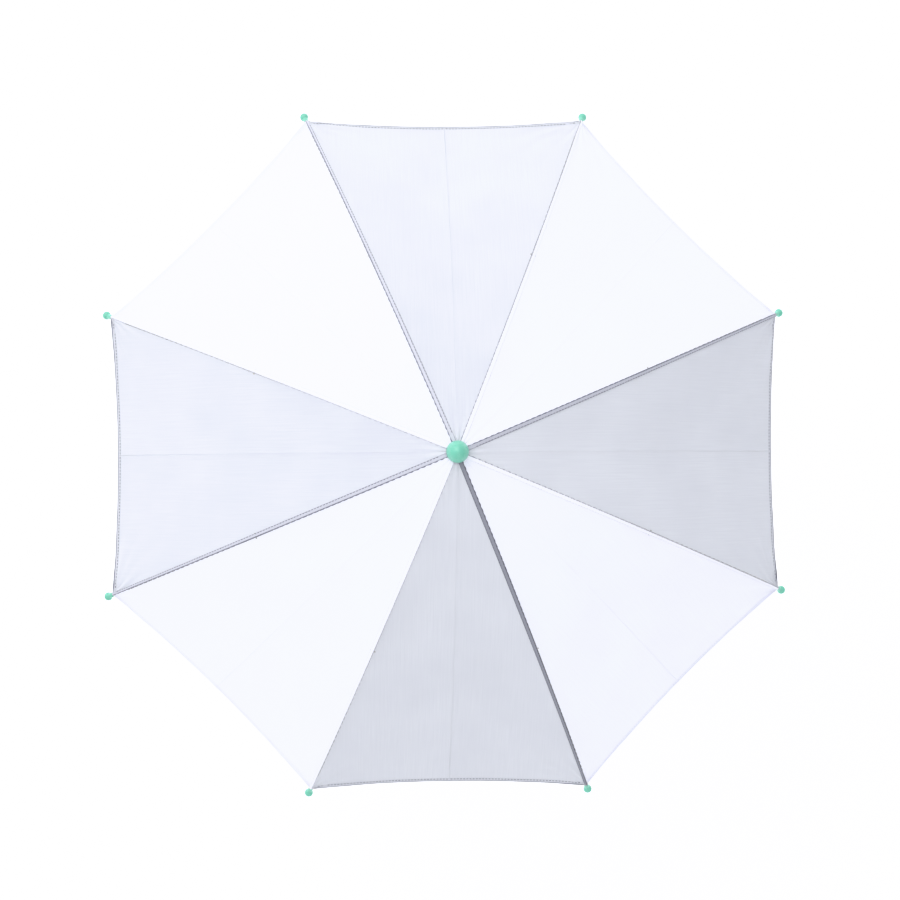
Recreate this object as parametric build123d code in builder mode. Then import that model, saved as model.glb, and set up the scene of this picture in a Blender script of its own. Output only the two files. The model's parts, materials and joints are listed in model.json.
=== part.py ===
"""Child's stick umbrella, open: shaft, slotted crown, eight hinged ribs and stretchers, sliding runner,
sprung catches, eight canopy gores, rib tips, ball cap and hook handle.

Frame: millimetres, +Z up along the shaft, origin at the middle of the straight grip.
"""

from build123d import *
from math import acos, asin, atan2, cos, degrees, hypot, radians, sin, tan
import os

# Canopy and rib shape
rib_count = 8
rib_arc_length = 430.0  # crown hinge to the centre of the tip ball, along the rib
rib_curve_radius = 725.0
rib_start_slope = 10.0  # degrees below level at the crown
first_rib_azimuth = 22.5
hinge_circle_radius = 8.0  # where rib eyes and stretcher eyes hang
closed_tip_radius = 17.0  # where the tip balls end up when folded

# Rib: fluted steel channel, open below
rib_width = 3.2
rib_above_hinge = 1.8
rib_below_hinge = 1.2
rib_wall = 0.5
rib_roof = 0.6
rib_end_in_tip = 5.5  # the rib stops this far short of the ball centre

# Flat eye at the inner end of a rib or stretcher
eye_radius = 1.4
eye_thickness = 1.5
eye_tongue_length = 10.0
eye_clearance = 0.15

# Stretcher: wider steel channel, open below, so that it takes the rib in when folded
stretcher_length = 220.0
fork_side_gap = 0.2  # between a stretcher's inner wall and the rib
stretcher_wall = 0.5
stretcher_half_height = 1.7
fork_length = 10.0
channel_start = 7.0  # distance from the eye to the full channel

# Rivets
rivet_radius = 0.8
rivet_head_radius = 1.4
rivet_head_thickness = 0.5
rivet_running_gap = 0.08
rivet_side_gap = 0.1

# Hinge wires and the slotted heads that hold them
wire_radius = 0.6
wire_seat_gap = 0.02
head_rim = 2.5  # outside the hinge circle
slot_side_gap = 0.3
slot_end_gap = 0.35
crown_top = 2.4
crown_skirt = 3.2
crown_hub_length = 10.0
hub_inside_slots = 0.15

# Shaft
shaft_radius = 4.0
shaft_wall = 0.6
seat_gap = 0.05
shaft_above_crown = 14.0
shaft_in_handle = 40.0
cross_pin_radius = 0.8
stop_pin_overhang = 1.6

# Runner
runner_bore_gap = 0.3
runner_hub_above = 4.0
runner_head_above = 1.8
runner_head_below = 3.6
runner_length_below = 24.0
runner_foot_radius = 9.5
runner_foot_height = 3.0
runner_stop_gap = 0.3

# Catches
catch_width = 2.0
catch_thickness = 0.8
catch_nose_overhang = 2.8
catch_nose_height = 8.0
catch_nose_land = 1.0
catch_tail = 10.0
catch_window_gap = 0.3
catch_rest_gap = 0.3
runner_window_height = 10.0
runner_window_above_foot = 2.0

# Canopy
fabric_thickness = 0.5
cloth_over_neck = 0.2
seam_gap = 0.6  # between one gore and the next, over the rib
hem_inset = 10.5  # the cloth corner stops this far short of the ball centre
hem_hollow = 4.0  # how far the hem curves in between two ribs
canopy_eyelet_gap = 1.0  # round the shaft

# Rosette and cap
rosette_radius = 10.2
rosette_thickness = 0.6
cap_radius = 11.2
cap_rim_height = 2.4
cap_height = 15.0
cap_gate_radius = 0.8  # small flat left by the moulding gate

# Rib tips
tip_ball_radius = 4.5
tip_socket_gap = 0.15
tip_neck_wall = 0.3
tip_neck_under_cloth = 0.4

# Handle
grip_radius = 10.0
grip_length = 68.0
hook_radius = 24.0
hook_rise = 14.0
collar_height = 12.0
collar_wall_at_top = 2.6
collar_to_runner_gap = 3.0

# Worked out from the sizes above
tip_arc_angle = degrees(rib_arc_length / rib_curve_radius)
pivot_arc_angle = 2 * degrees(asin(stretcher_length / 2 / rib_curve_radius))
pivot_chord_slope = rib_start_slope + pivot_arc_angle / 2
tip_chord = 2 * rib_curve_radius * sin(radians(tip_arc_angle / 2))
tip_chord_slope = rib_start_slope + tip_arc_angle / 2
fold_angle = degrees(acos((closed_tip_radius - hinge_circle_radius) / tip_chord)) - tip_chord_slope
open_drop = 2 * stretcher_length * sin(radians(pivot_chord_slope))
closed_drop = 2 * stretcher_length * sin(radians(pivot_chord_slope + fold_angle))
crown_height = (
    grip_length / 2 + collar_height + collar_to_runner_gap + runner_length_below + closed_drop
)
runner_open_height = crown_height - open_drop
runner_closed_height = crown_height - closed_drop
arc_centre_x = hinge_circle_radius - rib_curve_radius * sin(radians(rib_start_slope))
arc_centre_y = -rib_curve_radius * cos(radians(rib_start_slope))
canopy_eyelet_radius = shaft_radius + canopy_eyelet_gap
stretcher_inner_width = rib_width + 2 * fork_side_gap
socket_width = rib_width + 2 * tip_socket_gap
socket_height = rib_above_hinge + rib_below_hinge + 2 * tip_socket_gap
tip_neck_radius = hypot(socket_width, socket_height) / 2 + tip_neck_wall
socket_lift = (rib_above_hinge - rib_below_hinge) / 2
fabric_inner = socket_lift + tip_neck_radius + cloth_over_neck
fabric_outer = fabric_inner + fabric_thickness
tip_slope = rib_start_slope + tip_arc_angle
tip_neck_length = hem_inset + fabric_inner * tan(radians(tip_slope)) + tip_neck_under_cloth
collar_top_radius = shaft_radius + collar_wall_at_top
slot_half_width = eye_thickness / 2 + slot_side_gap
slot_depth_radius = hinge_circle_radius - eye_radius - slot_end_gap
head_radius = hinge_circle_radius + head_rim
hub_radius = slot_depth_radius - hub_inside_slots
runner_bore_radius = shaft_radius + runner_bore_gap
gore_half_angle = 180 / rib_count


def azimuth(index):
    return first_rib_azimuth + index * 360 / rib_count


def radial_plane(angle, height=crown_height, offset=0.0):
    """Upright plane through the shaft axis: local x points out, local y points up."""
    across = (sin(radians(angle)), -cos(radians(angle)), 0)
    origin = (across[0] * offset, across[1] * offset, height)
    return Plane(origin=origin, x_dir=(cos(radians(angle)), sin(radians(angle)), 0), z_dir=across)


def on_rib(distance, off=0.0):
    """Point at a distance along the rib arc, moved off it by a normal offset (positive is up)."""
    turn = radians(rib_start_slope) + distance / rib_curve_radius
    reach = rib_curve_radius + off
    return (arc_centre_x + reach * sin(turn), arc_centre_y + reach * cos(turn))


def save(builder, name):
    builder.part.label = name
    export_step(builder.part, f"parts/{name}.step")


def rib_band(start, end, low, high):
    """Edges of a closed strip along the rib arc between two offsets."""
    middle = (start + end) / 2
    with BuildLine() as band:
        ThreePointArc(on_rib(start, high), on_rib(middle, high), on_rib(end, high))
        Line(on_rib(end, high), on_rib(end, low))
        ThreePointArc(on_rib(end, low), on_rib(middle, low), on_rib(start, low))
        Line(on_rib(start, low), on_rib(start, high))
    return band.edges()


def make_rib(index):
    plane = radial_plane(azimuth(index))
    rib_end = rib_arc_length - rib_end_in_tip
    pivot_distance = rib_curve_radius * radians(pivot_arc_angle)
    channel = rib_band(channel_start, rib_end, -rib_below_hinge, rib_above_hinge)
    flute = rib_band(channel_start - 1, rib_end + 1, -rib_below_hinge - 1, rib_above_hinge - rib_roof)
    tongue = rib_band(0, eye_tongue_length, -rib_below_hinge, eye_radius)
    with BuildPart() as rib:
        with BuildSketch(plane):
            make_face(channel)
        extrude(amount=rib_width / 2, both=True)
        with BuildSketch(plane):
            make_face(flute)
        extrude(amount=rib_width / 2 - rib_wall, both=True, mode=Mode.SUBTRACT)
        with BuildSketch(plane):
            make_face(tongue)
            with Locations((hinge_circle_radius, 0)):
                Circle(eye_radius)
        extrude(amount=eye_thickness / 2, both=True)
        with BuildSketch(plane):
            with Locations((hinge_circle_radius, 0)):
                Circle(wire_radius + eye_clearance)
        extrude(amount=rib_width, both=True, mode=Mode.SUBTRACT)
        with BuildSketch(plane):
            with Locations(on_rib(pivot_distance)):
                Circle(rivet_radius + wire_seat_gap)
        extrude(amount=rib_width, both=True, mode=Mode.SUBTRACT)
    save(rib, f"rib_{index + 1}")


def stretcher_plane(index):
    """Radial plane at the lower eye, turned so that local x runs along the stretcher."""
    upright = radial_plane(azimuth(index), runner_open_height)
    foot = upright.from_local_coords((hinge_circle_radius, 0, 0))
    along = upright.from_local_coords(
        (hinge_circle_radius + cos(radians(pivot_chord_slope)), sin(radians(pivot_chord_slope)), 0)
    )
    return Plane(origin=foot, x_dir=along - foot, z_dir=upright.z_dir)


def make_stretcher(index):
    plane = stretcher_plane(index)
    outer_half = stretcher_inner_width / 2 + stretcher_wall
    tall = 2 * stretcher_half_height
    with BuildPart() as stretcher:
        with BuildSketch(plane):
            with Locations((channel_start, 0)):
                Rectangle(stretcher_length - channel_start, tall, align=(Align.MIN, Align.CENTER))
            with Locations((stretcher_length, 0)):
                Circle(stretcher_half_height)
        extrude(amount=outer_half, both=True)
        with BuildSketch(plane):
            with Locations((channel_start - 1, -stretcher_wall)):
                Rectangle(stretcher_length + fork_length, tall, align=(Align.MIN, Align.CENTER))
            with Locations((stretcher_length - fork_length, 0)):
                Rectangle(2 * fork_length, 2 * tall, align=(Align.MIN, Align.CENTER))
        extrude(amount=stretcher_inner_width / 2, both=True, mode=Mode.SUBTRACT)
        with BuildSketch(plane):
            Rectangle(eye_tongue_length, 2 * eye_radius, align=(Align.MIN, Align.CENTER))
            Circle(eye_radius)
        extrude(amount=eye_thickness / 2, both=True)
        with BuildSketch(plane):
            Circle(wire_radius + eye_clearance)
            with Locations((stretcher_length, 0)):
                Circle(rivet_radius + rivet_running_gap)
        extrude(amount=2 * outer_half, both=True, mode=Mode.SUBTRACT)
    save(stretcher, f"stretcher_{index + 1}")


def make_rivet(index):
    plane = radial_plane(azimuth(index))
    centre = on_rib(rib_curve_radius * radians(pivot_arc_angle))
    shank_half = stretcher_inner_width / 2 + stretcher_wall + rivet_side_gap
    with BuildPart() as rivet:
        with BuildSketch(plane):
            with Locations(centre):
                Circle(rivet_radius)
        extrude(amount=shank_half, both=True)
        for side in (1, -1):
            head_plane = radial_plane(azimuth(index), offset=side * shank_half)
            with BuildSketch(head_plane):
                with Locations(centre):
                    Circle(rivet_head_radius)
            extrude(amount=side * rivet_head_thickness)
    save(rivet, f"rivet_{index + 1}")


def make_tip(index):
    """Ball and socketed neck on the end of a rib, in line with the rib's last stretch."""
    upright = radial_plane(azimuth(index))
    reach, drop = on_rib(rib_arc_length)
    ball = upright.from_local_coords((reach, drop, 0))
    ahead = upright.from_local_coords(
        (reach + cos(radians(tip_slope)), drop - sin(radians(tip_slope)), 0)
    )
    plane = Plane(origin=ball, x_dir=upright.z_dir, z_dir=ahead - ball)
    rise = socket_lift if plane.y_dir.Z > 0 else -socket_lift
    with BuildPart() as tip:
        with BuildSketch(plane):
            with Locations((0, rise)):
                Circle(tip_neck_radius)
        extrude(amount=-tip_neck_length)
        with Locations(plane):
            Sphere(tip_ball_radius)
        with BuildSketch(plane.offset(-tip_neck_length)):
            with Locations((0, rise)):
                Rectangle(socket_width, socket_height)
        extrude(amount=tip_neck_length - rib_end_in_tip + tip_socket_gap, mode=Mode.SUBTRACT)
    save(tip, f"rib_tip_{index + 1}")


def gore_point(distance, off):
    """Point of a gore's middle line: the rib arc seen square to the chord between two ribs."""
    reach, rise = on_rib(distance, off)
    return (reach * cos(radians(gore_half_angle)), rise)


def make_gore(index):
    """One canopy gore, curved like the ribs along its length and level from rib to rib."""
    angle = azimuth(index) + gore_half_angle
    length_plane = radial_plane(angle)
    inner_start = -2 * canopy_eyelet_radius
    outer_end = rib_arc_length
    middle = (inner_start + outer_end) / 2
    corner_reach, _ = on_rib(rib_arc_length - hem_inset)
    corner_x = corner_reach * cos(radians(gore_half_angle))
    corner_y = corner_reach * sin(radians(gore_half_angle)) - seam_gap / 2
    eyelet_y = canopy_eyelet_radius * tan(radians(gore_half_angle)) - seam_gap / 2
    plan = Plane(origin=(0, 0, 0), x_dir=length_plane.x_dir, z_dir=(0, 0, 1))
    with BuildPart() as gore:
        with BuildSketch(length_plane):
            with BuildLine():
                ThreePointArc(
                    gore_point(inner_start, fabric_outer),
                    gore_point(middle, fabric_outer),
                    gore_point(outer_end, fabric_outer),
                )
                Line(gore_point(outer_end, fabric_outer), gore_point(outer_end, fabric_inner))
                ThreePointArc(
                    gore_point(outer_end, fabric_inner),
                    gore_point(middle, fabric_inner),
                    gore_point(inner_start, fabric_inner),
                )
                Line(gore_point(inner_start, fabric_inner), gore_point(inner_start, fabric_outer))
            make_face()
        extrude(amount=corner_reach, both=True)
        with BuildSketch(plan):
            with BuildLine():
                Line((canopy_eyelet_radius, -eyelet_y), (corner_x, -corner_y))
                ThreePointArc((corner_x, -corner_y), (corner_x - hem_hollow, 0), (corner_x, corner_y))
                Line((corner_x, corner_y), (canopy_eyelet_radius, eyelet_y))
                Line((canopy_eyelet_radius, eyelet_y), (canopy_eyelet_radius, -eyelet_y))
            make_face()
        extrude(amount=2 * crown_height, mode=Mode.INTERSECT)
    save(gore, f"canopy_panel_{index + 1}")


def hinge_slots(height, low, high):
    """The space that the radial slots and the wire groove of a slotted head take up."""
    groove_bottom = hinge_circle_radius - wire_radius - wire_seat_gap
    groove_half = wire_radius + wire_seat_gap
    with BuildPart() as slots:
        with BuildSketch(Plane.XY.offset(height - groove_half)):
            Circle(2 * head_radius)
            Circle(groove_bottom, mode=Mode.SUBTRACT)
        extrude(amount=2 * groove_half)
        for index in range(rib_count):
            with BuildSketch(radial_plane(azimuth(index), height)):
                with Locations((slot_depth_radius, low)):
                    Rectangle(2 * head_radius, high - low, align=(Align.MIN, Align.MIN))
            extrude(amount=slot_half_width, both=True)
    return slots.part


def make_wire(height, name):
    with BuildPart() as wire:
        with Locations((0, 0, height)):
            Torus(hinge_circle_radius, wire_radius)
    save(wire, name)


def make_crown():
    """Slotted notch under the canopy, pinned to the shaft."""
    slots = hinge_slots(crown_height, -2 * crown_skirt, eye_radius + slot_side_gap)
    with BuildPart() as crown:
        with BuildSketch(Plane.XY.offset(crown_height - crown_skirt)):
            Circle(head_radius)
        extrude(amount=crown_skirt + crown_top)
        with BuildSketch(Plane.XY.offset(crown_height - crown_hub_length)):
            Circle(hub_radius)
        extrude(amount=crown_hub_length)
        add(slots, mode=Mode.SUBTRACT)
        with BuildSketch(Plane.XY.offset(crown_height - crown_hub_length)):
            Circle(shaft_radius + seat_gap)
        extrude(amount=2 * crown_hub_length, mode=Mode.SUBTRACT)
        with BuildSketch(Plane.XZ):
            with Locations((0, crown_pin_height)):
                Circle(cross_pin_radius + wire_seat_gap)
        extrude(amount=2 * hub_radius, both=True, mode=Mode.SUBTRACT)
    save(crown, "crown")


def make_cross_pin(height, half_length, name):
    with BuildPart() as pin:
        with BuildSketch(Plane.XZ):
            with Locations((0, height)):
                Circle(cross_pin_radius)
        extrude(amount=half_length, both=True)
    save(pin, name)


def make_runner():
    """Sliding sleeve with a slotted head for the stretcher eyes and a thumb flange at its foot."""
    foot = runner_open_height - runner_length_below
    slots = hinge_slots(runner_open_height, -eye_radius - slot_side_gap, 2 * runner_hub_above)
    with BuildPart() as runner:
        with BuildSketch(Plane.XY.offset(foot)):
            Circle(hub_radius)
        extrude(amount=runner_length_below + runner_hub_above)
        with BuildSketch(Plane.XY.offset(runner_open_height - runner_head_below)):
            Circle(head_radius)
        extrude(amount=runner_head_below + runner_head_above)
        with BuildSketch(Plane.XY.offset(foot)):
            Circle(runner_foot_radius)
        extrude(amount=runner_foot_height)
        foot_edges = runner.edges().filter_by(GeomType.CIRCLE).filter_by_position(
            Axis.Z, foot, foot + runner_foot_height
        )
        fillet(foot_edges.filter_by(lambda edge: edge.radius > hub_radius + 1), runner_foot_height / 4)
        add(slots, mode=Mode.SUBTRACT)
        with BuildSketch(Plane.XY.offset(foot)):
            Circle(runner_bore_radius)
        extrude(amount=runner_length_below + runner_hub_above, mode=Mode.SUBTRACT)
        with BuildSketch(Plane.YZ.offset(shaft_radius)):
            with Locations((0, foot + runner_foot_height + runner_window_above_foot)):
                window = 2 * catch_window_gap + catch_width
                Rectangle(window, runner_window_height, align=(Align.CENTER, Align.MIN))
        extrude(amount=hub_radius, mode=Mode.SUBTRACT)
    save(runner, "runner")


def make_catch(shoulder_height, ramp_sign, name):
    """Flat spring inside the shaft with a nose through its window.

    The nose has a square shoulder at shoulder_height and a ramp that leads away from it,
    down for a ramp_sign of -1 and up for +1.
    """
    back = -catch_thickness / 2
    front = catch_thickness / 2
    nose = shaft_radius + catch_nose_overhang
    land_end = shoulder_height + ramp_sign * catch_nose_land
    ramp_end = shoulder_height + ramp_sign * catch_nose_height
    tail_end = ramp_end + ramp_sign * catch_tail
    head_end = shoulder_height - ramp_sign * catch_thickness
    with BuildPart() as catch:
        with BuildSketch(Plane.XZ):
            with BuildLine():
                Polyline(
                    (back, head_end),
                    (front, head_end),
                    (front, shoulder_height),
                    (nose, shoulder_height),
                    (nose, land_end),
                    (front, ramp_end),
                    (front, tail_end),
                    (back, tail_end),
                    close=True,
                )
            make_face()
        extrude(amount=catch_width / 2, both=True)
    save(catch, name)


def make_shaft():
    """Steel tube with a window for each catch and holes for the two cross pins."""
    bottom = grip_length / 2 - shaft_in_handle
    top = crown_height + shaft_above_crown
    window_width = catch_width + 2 * catch_window_gap
    window_length = catch_nose_height + 2 * catch_window_gap
    with BuildPart() as shaft:
        with BuildSketch(Plane.XY.offset(bottom)):
            Circle(shaft_radius)
            Circle(shaft_radius - shaft_wall, mode=Mode.SUBTRACT)
        extrude(amount=top - bottom)
        with BuildSketch(Plane.YZ):
            with Locations((0, top_catch_shoulder + catch_window_gap)):
                Rectangle(window_width, window_length, align=(Align.CENTER, Align.MAX))
            with Locations((0, bottom_catch_shoulder - catch_window_gap)):
                Rectangle(window_width, window_length, align=(Align.CENTER, Align.MIN))
        extrude(amount=2 * shaft_radius, mode=Mode.SUBTRACT)
        with BuildSketch(Plane.XZ):
            with Locations((0, crown_pin_height), (0, stop_pin_height)):
                Circle(cross_pin_radius + wire_seat_gap)
        extrude(amount=2 * shaft_radius, both=True, mode=Mode.SUBTRACT)
    save(shaft, "shaft")


def over_canopy(radius, lift=0.0):
    """Point above the canopy near its middle, where the cloth is almost a cone."""
    start_reach, start_rise = on_rib(0, fabric_outer)
    fall = (radius - start_reach) * tan(radians(rib_start_slope))
    return (radius, crown_height + start_rise - fall + lift)


def make_rosette():
    """Thin dished washer between the cap and the cloth."""
    inner = shaft_radius + seat_gap
    with BuildPart() as rosette:
        with BuildSketch(Plane.XZ):
            Polygon(
                over_canopy(inner, rosette_lift),
                over_canopy(rosette_radius, rosette_lift),
                over_canopy(rosette_radius, rosette_lift + rosette_thickness),
                over_canopy(inner, rosette_lift + rosette_thickness),
                align=None,
            )
        revolve(axis=Axis.Z)
    save(rosette, "rosette")


def make_cap():
    """Ball cap pushed over the shaft's end, domed above a short rim, hollow below for the shaft."""
    lift = rosette_lift + rosette_thickness + seat_gap
    bore = shaft_radius + seat_gap
    inner_foot = over_canopy(bore, lift)
    outer_foot = over_canopy(cap_radius, lift)
    rim_top = (cap_radius, outer_foot[1] + cap_rim_height)
    crest_height = rim_top[1] + cap_height
    shoulder = (cap_radius * 0.74, rim_top[1] + cap_height * 0.66)
    bore_top = crown_height + shaft_above_crown + seat_gap
    with BuildLine() as outline:
        Polyline((0, bore_top), (bore, bore_top), inner_foot, outer_foot, rim_top)
        ThreePointArc(rim_top, shoulder, (cap_gate_radius, crest_height))
        Polyline((cap_gate_radius, crest_height), (0, crest_height), (0, bore_top))
    with BuildPart() as cap:
        with BuildSketch(Plane.XZ):
            make_face(outline.edges())
        revolve(axis=Axis.Z)
    save(cap, "top_cap")


def make_collar():
    """Tapered ring that closes the top of the handle round the shaft."""
    foot = grip_length / 2
    with BuildPart() as collar:
        with BuildSketch(Plane.XY.offset(foot)):
            Circle(grip_radius)
        extrude(amount=collar_height, taper=degrees(atan2(grip_radius - collar_top_radius, collar_height)))
        with BuildSketch(Plane.XY.offset(foot)):
            Circle(shaft_radius + seat_gap)
        extrude(amount=collar_height, mode=Mode.SUBTRACT)
    save(collar, "handle_collar")


def make_handle():
    """Straight grip that runs on into a hook with a rounded end."""
    grip_foot = -grip_length / 2
    with BuildPart() as handle:
        with BuildLine(Plane.XZ) as route:
            Line((0, grip_length / 2), (0, grip_foot))
            ThreePointArc((0, grip_foot), (hook_radius, grip_foot - hook_radius), (2 * hook_radius, grip_foot))
            Line((2 * hook_radius, grip_foot), (2 * hook_radius, grip_foot + hook_rise))
        with BuildSketch(Plane.XY.offset(grip_length / 2)):
            Circle(grip_radius)
        sweep(path=route.wire())
        with Locations((2 * hook_radius, 0, grip_foot + hook_rise)):
            Sphere(grip_radius)
        with BuildSketch(Plane.XY.offset(grip_length / 2)):
            Circle(shaft_radius + seat_gap)
        extrude(amount=-shaft_in_handle - seat_gap, mode=Mode.SUBTRACT)
    save(handle, "handle")


crown_pin_height = crown_height - (crown_skirt + crown_hub_length) / 2
stop_pin_height = runner_open_height + runner_hub_above + runner_stop_gap + cross_pin_radius
top_catch_shoulder = runner_open_height - runner_length_below - catch_rest_gap
runner_window_foot = runner_foot_height + runner_window_above_foot - runner_length_below
bottom_catch_shoulder = runner_closed_height + runner_window_foot + catch_rest_gap
rosette_lift = seat_gap

os.makedirs("parts", exist_ok=True)
for number in range(rib_count):
    make_rib(number)
    make_stretcher(number)
    make_rivet(number)
    make_tip(number)
    make_gore(number)
make_wire(crown_height, "crown_wire")
make_wire(runner_open_height, "runner_wire")
make_crown()
make_cross_pin(crown_pin_height, hub_radius, "crown_pin")
make_cross_pin(stop_pin_height, shaft_radius + stop_pin_overhang, "stop_pin")
make_runner()
make_catch(top_catch_shoulder, -1, "top_catch")
make_catch(bottom_catch_shoulder, 1, "bottom_catch")
make_shaft()
make_rosette()
make_cap()
make_collar()
make_handle()
print(f"tip circle radius {on_rib(rib_arc_length)[0]:.2f}, fold angle {fold_angle:.4f}")
print(f"crown {crown_height:.3f}, runner open {runner_open_height:.3f}, closed {runner_closed_height:.3f}")
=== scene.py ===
# %% [markdown]
# # A child's stick umbrella, open
#
# This lesson dresses a CAD model of a small rain umbrella: eight steel ribs, eight stretchers,
# a runner on a tube, a hook handle, and a cover sewn from eight gores of thin polyester.
# The CAD model holds every size and every joint. It is loaded first and never changed.
# What Blender adds is the cloth, its seams and stitches, the sewing threads and the finishes.

# %% Load the CAD frame
import json
import math
import bpy
import numpy as np
from mathutils import Matrix, Vector

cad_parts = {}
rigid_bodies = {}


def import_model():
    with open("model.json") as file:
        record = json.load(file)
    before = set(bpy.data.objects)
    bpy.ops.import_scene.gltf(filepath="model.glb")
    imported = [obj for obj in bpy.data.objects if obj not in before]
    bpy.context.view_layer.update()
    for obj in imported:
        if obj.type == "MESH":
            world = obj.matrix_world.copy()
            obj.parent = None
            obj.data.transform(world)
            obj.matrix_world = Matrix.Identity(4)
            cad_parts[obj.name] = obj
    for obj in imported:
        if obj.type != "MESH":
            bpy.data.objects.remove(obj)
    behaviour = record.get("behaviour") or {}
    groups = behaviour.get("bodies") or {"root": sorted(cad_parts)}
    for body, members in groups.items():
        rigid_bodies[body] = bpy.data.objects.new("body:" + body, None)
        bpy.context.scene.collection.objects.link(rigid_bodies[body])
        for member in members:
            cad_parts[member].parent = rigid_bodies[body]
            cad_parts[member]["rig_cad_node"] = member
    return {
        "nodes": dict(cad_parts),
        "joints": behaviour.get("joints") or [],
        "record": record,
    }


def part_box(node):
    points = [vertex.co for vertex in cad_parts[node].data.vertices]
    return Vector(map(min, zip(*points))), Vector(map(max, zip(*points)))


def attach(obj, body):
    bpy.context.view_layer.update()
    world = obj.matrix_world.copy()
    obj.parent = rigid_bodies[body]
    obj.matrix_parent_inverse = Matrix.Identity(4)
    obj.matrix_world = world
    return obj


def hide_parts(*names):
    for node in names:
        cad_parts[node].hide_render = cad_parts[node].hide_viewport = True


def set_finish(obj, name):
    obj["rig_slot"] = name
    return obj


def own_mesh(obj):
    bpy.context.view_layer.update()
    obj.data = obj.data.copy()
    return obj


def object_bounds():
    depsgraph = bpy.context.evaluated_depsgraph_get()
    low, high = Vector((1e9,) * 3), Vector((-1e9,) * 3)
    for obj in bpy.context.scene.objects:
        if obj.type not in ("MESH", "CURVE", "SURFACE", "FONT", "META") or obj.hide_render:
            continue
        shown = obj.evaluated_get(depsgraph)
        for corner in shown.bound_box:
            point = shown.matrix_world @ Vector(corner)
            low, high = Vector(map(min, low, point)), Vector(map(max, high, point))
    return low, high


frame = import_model()
cad_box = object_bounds()
nodes = frame["nodes"]
joints = {joint["name"]: joint for joint in frame["joints"]}
MM = 0.001
RIBS = 8
print(f"loaded {len(nodes)} CAD nodes, {len(joints)} joints")

# %% [markdown]
# ## Where the ribs run
#
# Each rib is an arc of a circle in an upright plane through the shaft. Three points of the frame
# fix that circle: the hinge at the crown, the rivet to the stretcher and the ball on the end.
# Reading them from the joints and boxes keeps the cloth on the ribs if the CAD model changes.

# %% The rib arc from three frame points
BALL_RADIUS = 4.5 * MM


def reach_and_height(point):
    """Distance from the shaft axis, and height, of a point."""
    return np.array([math.hypot(point[0], point[1]), point[2]])


hinge = reach_and_height(joints["canopy_fold"]["pos_m"])
rivet = reach_and_height(joints["stretcher_1_pivot"]["pos_m"])
tip_low, tip_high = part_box("rib_tip_1")
tip = reach_and_height((tip_high[0] - BALL_RADIUS, tip_high[1] - BALL_RADIUS, tip_low[2] + BALL_RADIUS))


def circle_through(a, b, c):
    """Centre and radius: the centre is as far from a as from b, and as far from b as from c."""
    rows = 2 * np.array([b - a, c - b])
    sides = np.array([b @ b - a @ a, c @ c - b @ b])
    centre = np.linalg.solve(rows, sides)
    return centre, np.linalg.norm(a - centre)


arc_centre, arc_radius = circle_through(hinge, rivet, tip)
start_turn = math.asin((hinge[0] - arc_centre[0]) / arc_radius)
tip_distance = arc_radius * (math.asin((tip[0] - arc_centre[0]) / arc_radius) - start_turn)
rivet_distance = arc_radius * (math.asin((rivet[0] - arc_centre[0]) / arc_radius) - start_turn)
print(f"rib arc radius {arc_radius:.4f} m, length to the ball {tip_distance:.4f} m")


def rib_reach(distance, lift):
    """Distance from the axis along the arc: centre plus (radius + lift) times the sine of the turn."""
    return arc_centre[0] + (arc_radius + lift) * np.sin(start_turn + distance / arc_radius)


def rib_height(distance, lift):
    """Height along the arc: centre plus (radius + lift) times the cosine of the turn."""
    return arc_centre[1] + (arc_radius + lift) * np.cos(start_turn + distance / arc_radius)


def hinge_of(rib):
    """Place of a rib's hinge at the crown. Ribs are numbered from 0 here."""
    name = "canopy_fold" if rib % RIBS == 0 else f"rib_{rib % RIBS + 1}_fold"
    return tuple(joints[name]["pos_m"])


def rib_azimuth(rib):
    """Compass angle of a rib, from its hinge's place."""
    x, y, _ = hinge_of(rib)
    return math.atan2(y, x)


# %% [markdown]
# ## Helpers for meshes
#
# Every new piece is a grid of points worked out with whole numpy arrays, or a small shape
# repeated along a line. Two helpers turn such arrays into mesh objects at the origin.

# %% Grids and tubes to meshes
def make_object(name, points, faces):
    """A smooth-shaded mesh object at the origin, from an array of points and one of faces."""
    mesh = bpy.data.meshes.new(name)
    mesh.from_pydata(points.reshape(-1, 3).tolist(), [], faces.tolist())
    mesh.polygons.foreach_set("use_smooth", np.full(len(mesh.polygons), True))
    mesh.update()
    piece = bpy.data.objects.new(name, mesh)
    bpy.context.scene.collection.objects.link(piece)
    return piece


def grid_faces(rows, columns, closed=False):
    """Four-cornered faces between neighbouring rows and columns.

    closed joins the last column to the first.
    """
    index = np.arange(rows * columns).reshape(rows, columns)
    if closed:
        index = np.concatenate([index, index[:, :1]], axis=1)
    corners = [index[:-1, :-1], index[1:, :-1], index[1:, 1:], index[:-1, 1:]]
    return np.stack([c.ravel() for c in corners], axis=1)


def smooth_step(value, start, end):
    """0 before start, 1 after end, with a soft S between them."""
    share = np.clip((value - start) / (end - start), 0, 1)
    return share * share * (3 - 2 * share)


def unit(vectors):
    """Each vector divided by its own length."""
    return vectors / np.linalg.norm(vectors, axis=-1, keepdims=True)


# %% [markdown]
# ## The shape of one gore
#
# A gore is the cloth between two ribs. Pulled tight, it is nearly straight from rib to rib and
# curved like the ribs along its length. Real cloth adds small things to that. It dips a little
# between the ribs, it keeps a crease where it was folded in the packet, it puckers at the cap
# and along the stitching, and it shows pull lines that fan out of each sewn corner.
# A place on a gore is given by its distance along the rib and its distance from the rib, so
# that the cloth, the seam and the stitches all use one formula.

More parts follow.
